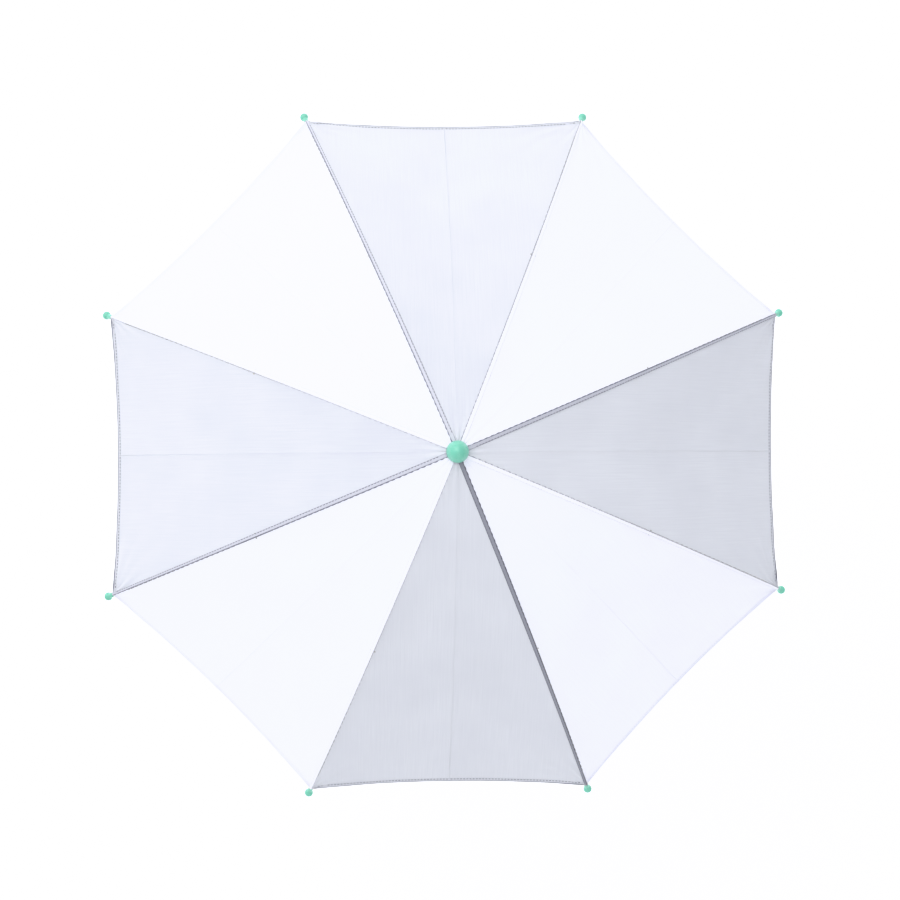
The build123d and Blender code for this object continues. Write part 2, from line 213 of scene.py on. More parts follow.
# %% Sizes of the sewn cover
HALF_ANGLE = math.pi / RIBS
EYELET_REACH = 5.0 * MM
CORNER_TO_BALL = 10.5 * MM
CORNER_DISTANCE = tip_distance - CORNER_TO_BALL
HEM_HOLLOW = 3.6 * MM
REST_LIFT = 2.05 * MM
END_LIFT = 3.3 * MM
DIP_SHARE = 0.03
CREASE_HEIGHT = 0.35 * MM
CREASE_WIDTH = 2.2 * MM
CLOTH_THICKNESS = 0.22 * MM
HEM_FOLD_WIDTH = 5.0 * MM
HEM_FOLD_HEIGHT = 0.3 * MM

generator = np.random.default_rng(8)
gore_phase = generator.uniform(0, 2 * math.pi, (RIBS, 8))
corner_strength = generator.uniform(0.65, 1.25, (RIBS, 2))


def cloth_lift(distance):
    """Height of the cloth over the rib line: higher over the crown and over the tip's neck."""
    over_crown = 1 - smooth_step(distance, 6 * MM, 34 * MM)
    over_neck = smooth_step(distance, CORNER_DISTANCE - 26 * MM, CORNER_DISTANCE - 5 * MM)
    return REST_LIFT + (END_LIFT - REST_LIFT) * np.maximum(over_crown, over_neck)


def half_width(distance):
    """Distance from the rib line to the gore's middle line, at the same distance along the rib."""
    return rib_reach(distance, cloth_lift(distance)) * math.sin(HALF_ANGLE)


def hem_distance(share):
    """Where the hem lies along the rib. share is 0 at the rib and 1 at the middle of the gore.

    In plan the hem is a parabola that curves in by HEM_HOLLOW between the two corners.
    """
    corner = rib_reach(CORNER_DISTANCE, END_LIFT)
    reach = corner - HEM_HOLLOW * (1 - (1 - share) ** 2) / math.cos(HALF_ANGLE)
    turn = np.arcsin((reach - arc_centre[0]) / (arc_radius + END_LIFT))
    return arc_radius * (turn - start_turn)


def cloth_relief(gore, side, distance, away):
    """Height of the folds, puckers and creases over the plain surface, in metres.

    It is the sum of: the dip between ribs, a parabola across the gore; the middle crease, a
    falling exponential; three long slow waves; puckers at the cap; puckers by the seam; and
    the pull lines of the corner, a wave in the angle round the corner that dies away outwards.
    """
    width = half_width(distance)
    across = side * (width - away)
    inside = 1 - (across / width) ** 2
    phase = gore_phase[gore]
    relief = -DIP_SHARE * width * inside
    relief += CREASE_HEIGHT * np.exp(-np.abs(across) / CREASE_WIDTH) * smooth_step(distance, 0, 60 * MM)
    along = distance / tip_distance
    window = inside * np.sin(np.pi * np.clip(along, 0, 1))
    relief += 0.8 * MM * window * np.sin(2 * np.pi * along * 2.2 + phase[0] + across / (45 * MM))
    relief += 0.5 * MM * window * np.sin(2 * np.pi * along * 3.7 + phase[1] - across / (28 * MM))
    relief += 0.4 * MM * window * np.sin(across / (17 * MM) + phase[2] + 3 * along)
    cap_pull = np.exp(-np.maximum(distance, 0) / (34 * MM))
    relief += 0.45 * MM * cap_pull * inside * np.cos(3 * np.pi * across / width + phase[3])
    seam_pull = np.exp(-away / (5 * MM)) * (1 - np.exp(-away / (1.5 * MM)))
    relief += 0.22 * MM * seam_pull * np.sin(2 * np.pi * distance / (6.7 * MM) + phase[4])
    back = np.maximum(CORNER_DISTANCE - distance, 0.01 * MM)
    far = np.hypot(back, away)
    angle = np.arctan2(away, back)
    fan = np.exp(-far / (42 * MM)) * far / (far + 10 * MM) * smooth_step(angle, 0.0, 0.22)
    strength = corner_strength[gore, 0 if side > 0 else 1]
    fan_wave = np.sin(15 * angle + phase[5 if side > 0 else 6] + 0.6 * np.sin(far / (9 * MM)))
    relief += 1.6 * MM * strength * fan * fan_wave
    joint_pull = np.exp(-(((distance - rivet_distance) / (22 * MM)) ** 2)) * np.exp(-away / (12 * MM))
    relief -= 0.5 * MM * joint_pull * (1 - np.exp(-away / (3 * MM)))
    return relief


def plain_place(gore, side, distance, away):
    """Points of the plain gore: from the rib point, go along the level chord towards the next rib.

    side is -1 for the half at the gore's first rib and +1 for the half at its second.
    """
    lift = cloth_lift(distance)
    reach = rib_reach(distance, lift)
    height = rib_height(distance, lift)
    middle = rib_azimuth(gore) + HALF_ANGLE
    out = reach * math.cos(HALF_ANGLE)
    sideways = side * (reach * math.sin(HALF_ANGLE) - away)
    x = out * math.cos(middle) - sideways * math.sin(middle)
    y = out * math.sin(middle) + sideways * math.cos(middle)
    return np.stack([x, y, height + 0 * away], axis=-1)


def surface_normal(gore, side, distance, away):
    """Outward normal of the plain gore, from the cross product of two small steps along it."""
    step = 0.5 * MM
    along = plain_place(gore, side, distance + step, away) - plain_place(gore, side, distance - step, away)
    across = plain_place(gore, side, distance, away + step) - plain_place(gore, side, distance, away - step)
    return unit(np.cross(across, along)) * side


def gore_place(gore, side, distance, away, lift=0.0):
    """Points of the real cloth: the plain gore, raised along its normal by the relief and by lift."""
    normal = surface_normal(gore, side, distance, away)
    relief = cloth_relief(gore, side, distance, away) + lift
    return plain_place(gore, side, distance, away) + normal * relief[..., None]


print(f"gore half width at the hem {float(half_width(CORNER_DISTANCE)) * 1000:.1f} mm")


# %% [markdown]
# ## Cloth panels
#
# The cover folds at the ribs, so each gore is built as two halves, and each half rides on the
# rib it is sewn to. The grid is finer where the small shapes are: beside the seam, along
# the middle crease and at the hem. A Solidify modifier gives the cloth its thickness.

# %% Sixteen half gores
ROWS = 240
seam_columns = np.array([0, 0.5, 1.0, 1.6, 2.3, 3.1, 4.0, 5.2, 6.6, 8.4, 10.5]) * MM
CREASE_COLUMNS = 6


def half_gore_grid():
    """Distances along and away from the rib for every grid point of one half gore."""
    row = np.linspace(0, 1, ROWS)
    row = row - 0.35 / (2 * math.pi) * np.sin(2 * math.pi * row)
    width = half_width(hem_distance(np.array(0.0)))
    inner = seam_columns / width
    outer = np.linspace(inner[-1], 1 - 3 * CREASE_WIDTH / width, 20)[1:]
    crease = np.linspace(outer[-1], 1, CREASE_COLUMNS + 1)[1:]
    share = np.concatenate([inner, outer, crease])
    eyelet = arc_radius * (math.asin((EYELET_REACH - arc_centre[0]) / (arc_radius + END_LIFT)) - start_turn)
    distance = eyelet + row[:, None] * (hem_distance(share)[None, :] - eyelet)
    away = share[None, :] * half_width(distance)
    return distance, away


def hem_fold(distance, away):
    """Height of the turned-over hem: a low step that rises five millimetres before the edge."""
    share = away / half_width(distance)
    back = hem_distance(share) - distance
    step = smooth_step(back, HEM_FOLD_WIDTH - 0.8 * MM, HEM_FOLD_WIDTH + 0.8 * MM)
    return HEM_FOLD_HEIGHT * (1 - step)


def grid_area(points):
    """Area of a grid of points: half the cross product of each face's two diagonals, added up."""
    first = points[1:, 1:] - points[:-1, :-1]
    second = points[1:, :-1] - points[:-1, 1:]
    return float(np.linalg.norm(np.cross(first, second), axis=-1).sum() / 2)


def set_cloth_uv(mesh, along, across):
    """Texture coordinates in metres, so that a weave of a real pitch can be drawn on the cloth."""
    corner = np.empty(len(mesh.loops), dtype=np.int32)
    mesh.loops.foreach_get("vertex_index", corner)
    uv = np.stack([along.ravel()[corner], across.ravel()[corner]], axis=1)
    layer = mesh.uv_layers.new(name="UVMap")
    layer.data.foreach_set("uv", uv.astype(np.float32).ravel())


def thicken(piece):
    """Gives a cloth piece its thickness, half of it on each side of the surface."""
    solid = piece.modifiers.new("thickness", "SOLIDIFY")
    solid.thickness = CLOTH_THICKNESS
    solid.offset = 0.0


def rib_under(gore, side):
    """The rib that a half gore is sewn to, numbered from 0."""
    return (gore if side < 0 else gore + 1) % RIBS


def fabric_slot(gore):
    """White for gores 1, 3, 5 and 7, grey for the others."""
    return "white_fabric" if gore % 2 == 0 else "grey_fabric"


def ride_and_gather(piece, rib):
    """The piece turns with its rib, and gets a mesh of its own."""
    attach(piece, f"rib_{rib + 1}")
    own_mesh(piece)


half_gores, sewn_on, cut = {}, {}, {}
for gore in range(RIBS):
    for side in (-1, 1):
        distance, away = half_gore_grid()
        points = gore_place(gore, side, distance, away, hem_fold(distance, away))
        faces = grid_faces(*distance.shape)
        if side > 0:
            faces = faces[:, ::-1]
        label = "first" if side < 0 else "second"
        piece = make_object(f"gore_{gore + 1}_{label}_half", points, faces)
        share = away / half_width(distance)
        set_cloth_uv(piece.data, hem_distance(share) - distance, side * (half_width(distance) - away))
        thicken(piece)
        ride_and_gather(piece, rib_under(gore, side))
        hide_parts(f"canopy_panel_{gore + 1}")
        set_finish(piece, fabric_slot(gore))
        half_gores[gore, side] = piece
        sewn_on[gore, side] = []
        cut_width, cut_length = float(away.max()), float(np.ptp(distance))
        cut[gore, side] = cut_width, cut_length, grid_area(plain_place(gore, side, distance, away))
print(f"{len(half_gores)} half gores, {cut_width * 1000:.1f} x {cut_length * 1000:.1f} mm each")


# %% [markdown]
# ## Felled seams
#
# Two gores meet over a rib. One edge is folded round the other, laid over the rib and sewn
# flat, which leaves a raised band of three layers there. It has the colour of the gore on its
# clockwise side. The band could be drawn as colour only, but its low step catches the light,
# so it is a narrow strip of cloth of its own. It rides on the rib and keeps its width when the
# umbrella closes, as a sewn seam does.

# %% Eight seam bands
SEAM_START = 2.0 * MM
BAND_FROM = -1.7 * MM
BAND_TO = 3.6 * MM
SEAM_STEP = 0.35 * MM


def seam_taper(distance):
    """Width of the band over its full width: 1 near the crown, falling smoothly to 0.6 at the tip."""
    return 1 - 0.4 * smooth_step(distance, 60 * MM, CORNER_DISTANCE)


def seam_lift(distance, away, hem_line):
    """Height of the band: it dives under the cloth at both edges and bulges by SEAM_STEP between."""
    up = smooth_step(away, BAND_FROM, BAND_FROM + 0.6 * MM)
    down = smooth_step(away, BAND_TO - 0.6 * MM, BAND_TO)
    over_hem = HEM_FOLD_HEIGHT * smooth_step(distance, hem_line - 6 * MM, hem_line - 4 * MM)
    return (CLOTH_THICKNESS + SEAM_STEP + 0.25 * MM) * (up - down) - 0.25 * MM + over_hem


for rib in range(RIBS):
    gore = (rib - 1) % RIBS
    across = np.linspace(BAND_FROM, BAND_TO, 17)
    hem_line = hem_distance(np.clip(np.abs(across) / half_width(CORNER_DISTANCE), 0, 1))[None, :]
    row = np.linspace(0, 1, 260)[:, None]
    distance = SEAM_START + row * (hem_line - SEAM_START)
    away = np.broadcast_to(across[None, :], distance.shape)
    narrowed = away * seam_taper(distance)
    under = np.where(away < 0, -0.35 * narrowed, 0)
    points = gore_place(gore, 1, distance, narrowed, seam_lift(distance, away, hem_line) - under)
    piece = make_object(f"seam_{rib + 1}", points, grid_faces(*distance.shape)[:, ::-1])
    set_cloth_uv(piece.data, distance, away)
    thicken(piece)
    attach(piece, f"rib_{rib + 1}")
    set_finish(piece, fabric_slot(gore))
    sewn_on[gore, 1].append(piece)
print(f"{RIBS} seam bands, {(BAND_TO - BAND_FROM) * 1000:.1f} mm wide")

# %% [markdown]
# ## Stitches
#
# A sewing machine leaves a row of short thread bars with a gap after each. Each bar is a small
# six-sided capsule. One capsule is worked out and then placed at every stitch with whole
# arrays, so a whole row costs a single mesh. Two rows hold each seam, one row the hem. Real
# thread is about 0.25 mm thick. It is drawn at 0.6 mm so that it shows.

# %% Rows of stitches
STITCH_PITCH = 3.4 * MM
STITCH_LENGTH = 2.2 * MM
THREAD_RADIUS = 0.3 * MM


def capsule(length, radius, sides=6):
    """Rings of a capsule along x: the radius follows a half circle at each end."""
    station = np.array([-0.5, -0.44, -0.3, 0.3, 0.44, 0.5])
    girth = np.array([0.15, 0.7, 1.0, 1.0, 0.7, 0.15])
    turn = np.arange(sides) * 2 * math.pi / sides
    x = np.repeat(station * length, sides)
    y = np.outer(girth * radius, np.cos(turn)).ravel()
    z = np.outer(girth * radius, np.sin(turn)).ravel()
    faces = grid_faces(len(station), sides, closed=True)
    return np.stack([x, y, z], axis=1), faces


def stitches(name, starts, ends, normals):
    """One capsule from each start to each end, lying in the surface whose normals are given."""
    shape, faces = capsule(1.0, THREAD_RADIUS)
    along = ends - starts
    middle = (starts + ends) / 2
    out = unit(normals)
    across = unit(np.cross(out, along))
    points = (
        middle[:, None, :]
        + shape[None, :, 0, None] * along[:, None, :]
        + shape[None, :, 1, None] * across[:, None, :]
        + shape[None, :, 2, None] * out[:, None, :]
    )
    many = faces[None, :, :] + (np.arange(len(starts)) * len(shape))[:, None, None]
    return make_object(name, points, many.reshape(-1, 4))


def row_of_stitches(name, gore, side, first, last, away_of, lift):
    """A row between two distances along the rib. away_of gives its distance from the rib."""
    begin = np.arange(first, last - STITCH_LENGTH, STITCH_PITCH)
    finish = begin + STITCH_LENGTH
    starts = gore_place(gore, side, begin, away_of(begin), lift)
    ends = gore_place(gore, side, finish, away_of(finish), lift)
    normals = surface_normal(gore, side, begin, away_of(begin))
    return stitches(name, starts, ends, normals)


stitch_count = 0
for rib in range(RIBS):
    gore = (rib - 1) % RIBS
    for line, offset in (("inner", -0.9 * MM), ("outer", 2.8 * MM)):
        drop = 0.35 * offset if offset < 0 else 0.0
        piece = row_of_stitches(
            f"seam_{rib + 1}_{line}_stitches",
            gore,
            1,
            12 * MM,
            CORNER_DISTANCE - 6 * MM,
            lambda run, offset=offset: offset * seam_taper(run),
            1.5 * CLOTH_THICKNESS + SEAM_STEP + 0.04 * MM + drop,
        )
        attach(piece, f"rib_{rib + 1}")
        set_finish(piece, fabric_slot(gore))
        sewn_on[gore, 1].append(piece)
        stitch_count += len(piece.data.polygons)
print(f"seam stitches, {stitch_count} faces")

# %% Hem stitches
HEM_STITCH_INSET = 3.9 * MM


def hem_stitch_end(share):
    """Distances along and away from the rib, HEM_STITCH_INSET back from the hem."""
    run = hem_distance(share) - HEM_STITCH_INSET
    return run, share * half_width(run)


width = float(half_width(CORNER_DISTANCE))
share = np.arange(6 * MM, width - 0.5 * MM, STITCH_PITCH) / width
begin, begin_away = hem_stitch_end(share)
finish, finish_away = hem_stitch_end(share + STITCH_LENGTH / width)
lift = CLOTH_THICKNESS / 2 + HEM_FOLD_HEIGHT + 0.05 * MM
for (gore, side), half in half_gores.items():
    piece = stitches(
        f"{half.name}_hem_stitches",
        gore_place(gore, side, begin, begin_away, lift),
        gore_place(gore, side, finish, finish_away, lift),
        surface_normal(gore, side, begin, begin_away),
    )
    ride_and_gather(piece, rib_under(gore, side))
    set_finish(piece, fabric_slot(gore))
    sewn_on[gore, side].append(piece)
print(f"{len(share)} hem stitches on each half gore")

for (gore, side), half in half_gores.items():
    rib = rib_under(gore, side)
    cut_width, cut_length, cut_area = cut[gore, side]
print(f"half gore, {cut_width * 1000:.0f} x {cut_length * 1000:.0f} mm, {cut_area * 1e4:.0f} square cm")

# %% [markdown]
# ## Thread ties
#
# The cover is tied to each rib at three places along it, and sewn through a hole in each ball
# tip's neck. A tie is a thread wound a few times round the rib and through the seam. It is one
# tube: a profile of six sides carried round a winding loop.

# %% Ties on ribs and tips
THREAD_TURNS = 4
TIE_THICKNESS = 0.36 * MM


def wound_thread(name, middle, ahead, up, half_wide, half_high, pitch, rise):
    """A thread wound round a rounded box shape.

    The loop is a superellipse: the cosine and sine of the turn, each raised to the power 0.6
    with its sign kept, times the half sizes. It moves ahead by pitch in each turn.
    """
    steps = 28 * THREAD_TURNS
    turn = np.linspace(0, 2 * math.pi * THREAD_TURNS, steps)
    ahead, up = unit(np.array(ahead)), unit(np.array(up))
    side = np.cross(up, ahead)
    wide = half_wide * np.sign(np.cos(turn)) * np.abs(np.cos(turn)) ** 0.6
    high = half_high * np.sign(np.sin(turn)) * np.abs(np.sin(turn)) ** 0.6 + rise
    slide = pitch * (turn / (2 * math.pi) - THREAD_TURNS / 2)
    path = np.array(middle) + wide[:, None] * side + high[:, None] * up + slide[:, None] * ahead
    tangent = unit(np.gradient(path, axis=0))
    outward = unit(path - np.array(middle) - slide[:, None] * ahead - rise * up)
    lateral = unit(np.cross(tangent, outward))
    outward = np.cross(lateral, tangent)
    around = np.arange(6) * math.pi / 3
    ring = np.cos(around)[None, :, None] * outward[:, None, :]
    ring = ring + np.sin(around)[None, :, None] * lateral[:, None, :]
    points = path[:, None, :] + ring * TIE_THICKNESS / 2
    return make_object(name, points, grid_faces(steps, 6, closed=True)[:, ::-1])


def rib_point(rib, distance, lift=0.0):
    """A point on the rib line, raised square to it by lift."""
    azimuth = rib_azimuth(rib)
    reach, height = float(rib_reach(distance, lift)), float(rib_height(distance, lift))
    return np.array([reach * math.cos(azimuth), reach * math.sin(azimuth), height])


TIE_HALF = 1.78 * MM
tie_distances = (0.27 * tip_distance, rivet_distance + 12 * MM, 0.78 * tip_distance)
for rib in range(RIBS):
    for tie, distance in enumerate(tie_distances):
        middle = rib_point(rib, distance, 0.4 * MM)
        ahead = rib_point(rib, distance + 1 * MM) - rib_point(rib, distance)
        up = rib_point(rib, distance, 1 * MM) - rib_point(rib, distance)
        piece = wound_thread(
            f"rib_{rib + 1}_tie_{tie + 1}", middle, ahead, up, TIE_HALF, TIE_HALF, 0.5 * MM, -0.12 * MM
        )
        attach(piece, f"rib_{rib + 1}")
        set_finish(piece, "grey_fabric")
    end = rib_point(rib, tip_distance)
    back = rib_point(rib, tip_distance - 1 * MM)
    ahead = unit(end - back)
    up = unit(rib_point(rib, tip_distance, 1 * MM) - end)
    neck = end - 11.5 * MM * ahead
    piece = wound_thread(
        f"rib_tip_{rib + 1}_thread", neck, ahead, up, 2.95 * MM, 3.05 * MM, 0.45 * MM, 0.35 * MM
    )
    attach(piece, f"rib_{rib + 1}")
    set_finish(piece, "white_fabric")
print(f"{3 * RIBS} ties on the ribs and {RIBS} on the tips")

# %% [markdown]
# ## Making materials
#
# Every finish is a small node graph round a Principled shader. Colours are written as sRGB hex
# values and turned to linear by one function. One helper adds a node with its settings and
# links, so each material reads as a short list.

# %% Colour and node helpers
def colour(hex_value):
    """sRGB hex to linear.

    Up to 0.04045 a part is divided by 12.92. Above that, 0.055 is added, the sum is divided by
    1.055, and the result is raised to the power 2.4.
    """
    parts = [int(hex_value[i : i + 2], 16) / 255 for i in (1, 3, 5)]
    linear = [c / 12.92 if c <= 0.04045 else ((c + 0.055) / 1.055) ** 2.4 for c in parts]
    return (*linear, 1.0)


def add_node(tree, kind, settings=None, **links):
    """Adds a node. settings are its properties; links fill sockets with a value or another socket."""
    node = tree.nodes.new(kind)
    for key, value in (settings or {}).items():
        setattr(node, key, value)
    for key, value in links.items():
        socket = node.inputs[int(key[2:])] if key.startswith("in") and key[2:].isdigit() else None
        socket = socket or node.inputs[key.replace("_", " ")]
        if isinstance(value, bpy.types.NodeSocket):
            tree.links.new(value, socket)
        else:
            socket.default_value = value
    return node


def new_material(name, base, roughness, metallic=0.0, ior=None):
    """A Principled material. Without an ior it keeps the default, as a metal does."""
    material = bpy.data.materials.new(name)
    material.use_nodes = True
    shader = material.node_tree.nodes["Principled BSDF"]
    shader.inputs["Base Color"].default_value = colour(base)
    shader.inputs["Roughness"].default_value = roughness
    shader.inputs["Metallic"].default_value = metallic
    if ior:
        shader.inputs["IOR"].default_value = ior
    return material, material.node_tree, shader


def set_ramp(node, stops):
    """Gives a colour ramp its stops, each a position and an sRGB hex colour."""
    elements = node.color_ramp.elements
    while len(elements) < len(stops):
        elements.new(0.5)
    for element, (position, value) in zip(elements, stops):
        element.position = position
        element.color = colour(value)


# %% [markdown]
# ## Polyester pongee
#
# The cover is thin plain-woven polyester, dyed pale grey or left optic white. It is matt with a
# faint sheen, and some light comes through it. Real threads are about 0.12 mm apart, too fine
# to show, so the weave is drawn with a wave every 3.1 mm. Slightly thicker threads, called
# slubs, make long soft streaks. The white also glows a little by itself: this glow is painted
# light, which keeps it bright in shade though no lamp gives it.

# %% Cloth and thread
WEAVE_PITCH = 3.1416 * MM
SLUB_LENGTH, SLUB_WIDTH = 50 * MM, 10 / 7 * MM
CLOUDS_PER_METRE = 14.0
POLYESTER_IOR = 1.53


def wave_scale(pitch, rate=20):
    """Scale of a wave texture with bands one pitch apart.

    The texture is the sine of rate times scale times the place, so its pitch is two pi over
    rate times scale. rate is 20 for bands along x or y, and 10 for diagonal ones.
    """
    return 2 * math.pi / (rate * pitch)


def pongee(name, base, streak, glow, through, edge_axis, edge_span, fold_shade_stops):
    """Woven cloth. The fold stops darken it along a hem or a seam, where two or three layers lie: this
    darkening is painted shade in the folds.

    edge_axis says which texture coordinate they follow, and edge_span its two ends in metres.
    """
    material, tree, shader = new_material(name, base, 0.62, ior=POLYESTER_IOR)
    uv = add_node(tree, "ShaderNodeTexCoord").outputs["UV"]
    threads = []
    for direction in ("X", "Y"):
        bands = {"bands_direction": direction}
        wave = add_node(tree, "ShaderNodeTexWave", bands, Vector=uv, Scale=wave_scale(WEAVE_PITCH))
        threads.append(wave.outputs["Fac"])
    weave = add_node(tree, "ShaderNodeMath", {"operation": "MAXIMUM"}, in0=threads[0], in1=threads[1])
    stretched = add_node(tree, "ShaderNodeMapping", Vector=uv, Scale=(1 / SLUB_LENGTH, 1 / SLUB_WIDTH, 1.0))
    slub = add_node(tree, "ShaderNodeTexNoise", Vector=stretched.outputs["Vector"], Scale=1.0, Detail=3.0)
    cloud = add_node(tree, "ShaderNodeTexNoise", Vector=uv, Scale=CLOUDS_PER_METRE, Detail=2.0)
    multiply = {"operation": "MULTIPLY"}
    tone = add_node(tree, "ShaderNodeMath", multiply, in0=slub.outputs["Fac"], in1=cloud.outputs["Fac"])
    ramp = add_node(tree, "ShaderNodeValToRGB", Fac=tone.outputs["Value"])
    set_ramp(ramp, [(0.08, streak), (0.42, base)])
    parts = add_node(tree, "ShaderNodeSeparateXYZ", Vector=uv)
    edge_place = add_node(
        tree, "ShaderNodeMapRange", in0=parts.outputs[edge_axis], in1=edge_span[0], in2=edge_span[1]
    )
    # Painted shade: bands of darker colour along the folded hem and seam of the cloth.
    edge = add_node(tree, "ShaderNodeValToRGB", Fac=edge_place.outputs["Result"])
    set_ramp(edge, fold_shade_stops)
    dye_and_fold_shade = add_node(
        tree, "ShaderNodeVectorMath", multiply, in0=ramp.outputs["Color"], in1=edge.outputs["Color"]
    ).outputs["Vector"]
    height = add_node(
        tree,
        "ShaderNodeMath",
        {"operation": "MULTIPLY_ADD"},
        in0=slub.outputs["Fac"],
        in1=0.6,
        in2=weave.outputs["Value"],
    )
    bump = add_node(tree, "ShaderNodeBump", Height=height.outputs["Value"], Strength=0.12, Distance=0.06 * MM)
    tree.links.new(dye_and_fold_shade, shader.inputs["Base Color"])
    tree.links.new(bump.outputs["Normal"], shader.inputs["Normal"])
    shader.inputs["Sheen Weight"].default_value = 0.12
    shader.inputs["Sheen Roughness"].default_value = 0.5
    shader.inputs["Specular IOR Level"].default_value = 0.35
    # Painted light: the cloth glows in its own colour by the glow given, with no lamp.
    shader.inputs["Emission Color"].default_value = colour(base)
    shader.inputs["Emission Strength"].default_value = glow
    back_light = add_node(tree, "ShaderNodeBsdfTranslucent", Color=dye_and_fold_shade, Normal=bump.outputs["Normal"])
    mix = add_node(
        tree, "ShaderNodeMixShader", Fac=through, in1=shader.outputs["BSDF"], in2=back_light.outputs["BSDF"]
    )
    tree.links.new(mix.outputs["Shader"], tree.nodes["Material Output"].inputs["Surface"])
    return material


PLY_PITCH = 5.0265 * MM


def thread(name, base):
    """Spun polyester thread: matt, with its twisted plies drawn as slanting ridges.

    PLY_PITCH is measured along an axis. Real plies lie about 0.4 mm apart, too fine to show.
    """
    material, tree, shader = new_material(name, base, 0.7, ior=POLYESTER_IOR)
    place = add_node(tree, "ShaderNodeTexCoord").outputs["Object"]
    bands = {"bands_direction": "DIAGONAL"}
    ply = add_node(tree, "ShaderNodeTexWave", bands, Vector=place, Scale=wave_scale(PLY_PITCH, 10))
    bump = add_node(tree, "ShaderNodeBump", Height=ply.outputs["Fac"], Strength=0.4, Distance=0.05 * MM)
    tree.links.new(bump.outputs["Normal"], shader.inputs["Normal"])
    shader.inputs["Sheen Weight"].default_value = 0.2
    return material


HEM_SPAN = (0.0, 8.0 * MM)
# Painted shade along the turned hem: a dark line in the first 1.5 mm on the grey gores, and a faint darkening
# over the hem's width on both.
grey_hem_shade = [(0.0, "#8E909C"), (0.12, "#9A9CA8"), (0.19, "#F2F2F4"), (0.6, "#F4F4F5"), (0.7, "#FFFFFF")]
white_hem_shade = [(0.0, "#F1F0F5"), (0.6, "#F8F8FB"), (0.7, "#FFFFFF")]
grey_base, grey_streak = "#DEE1EA", "#D7DAE4"
white_base, white_streak = "#EEF0FA", "#E9EBF6"
# A glow of the white cloth and its seams by itself: painted light that no lamp gives.
PAINTED_GLOW = 0.12
CLOTH_THROUGH, SEAM_THROUGH = 0.15, 0.05
grey_cloth = pongee(
    "polyester_pongee_pale_grey", grey_base, grey_streak, 0.0, CLOTH_THROUGH, "X", HEM_SPAN, grey_hem_shade
)
white_cloth = pongee(
    "polyester_pongee_optic_white",
    white_base,
    white_streak,
    PAINTED_GLOW,
    CLOTH_THROUGH,
    "X",
    HEM_SPAN,
    white_hem_shade,
)

# %% [markdown]
# A seam has three layers over a steel rib, so less light comes through it. Its darker colour is
# painted shade as well, painted darker on some seams than on others. Its two folded edges are
# painted darkest, as the shade in the folds.

# %% Seam cloth and thread
BAND_SPAN = (BAND_FROM, BAND_TO)
# Seam colours per gore: white on the white gores, and painted shade on the grey gores, darker on some seams
# than on others. The edge colours are painted shade in the folds at the band's two edges.
seam_shaded_bases = [white_base, "#CFD1DE", white_base, "#C6C8D6", white_base, "#8E909E", white_base, "#BCBECC"]
seam_edge_shades = ["#8A8C98", "#A8AAB6", "#C8C8D0", "#9C9EAA", "#C8C8D0", "#787A88", "#8A8C98", "#9698A4"]
seam_cloth = {}
for gore in range(RIBS):
    is_white = gore % 2 == 0
    far_edge_shade = "#F0F0F6" if is_white else "#B4B6C2"
    seam_cloth[gore] = pongee(
        f"polyester_seam_{'white' if is_white else 'grey'}_{gore + 1}",
        seam_shaded_bases[gore],
        white_streak if is_white else seam_shaded_bases[gore],
        PAINTED_GLOW if is_white else 0.0,
        SEAM_THROUGH,
        "Y",
        BAND_SPAN,
        [(0.14, seam_edge_shades[gore]), (0.25, "#FFFFFF"), (0.84, "#FFFFFF"), (0.96, far_edge_shade)],
    )
# The grey thread is drawn dark: partly its own grey, partly painted shade of the needle holes and of the gaps
# between stitches.
grey_thread_and_hole_shade = thread("spun_polyester_thread_grey_hole_shade", "#666877")
white_thread = thread("spun_polyester_thread_white", "#E2E2E8")

for piece in bpy.context.scene.objects:
    if "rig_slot" not in piece or piece.type != "MESH" or "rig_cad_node" in piece:
        continue
    is_grey = piece["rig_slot"] == "grey_fabric"
    if "stitches" in piece.name or "tie" in piece.name or "thread" in piece.name:
        piece.data.materials.append(grey_thread_and_hole_shade if is_grey else white_thread)
    elif piece.name.startswith("seam"):
        piece.data.materials.append(seam_cloth[(int(piece.name[5:]) - 2) % RIBS])
    else:
        piece.data.materials.append(grey_cloth if is_grey else white_cloth)
print(f"two cloths, {RIBS} seams and two threads")

# %% [markdown]
# ## Moulded plastic and plated steel
#
# The ball tips, the cap and the handle are injection-moulded polypropylene in one mint colour.
# The mould is polished, so they are glossy, with a very fine waviness that softens the
# highlights, and light sinks a little way in. The crown and the runner are white acetal, a
# harder plastic with a satin face. Ribs, stretchers and tube are nickel-plated steel.

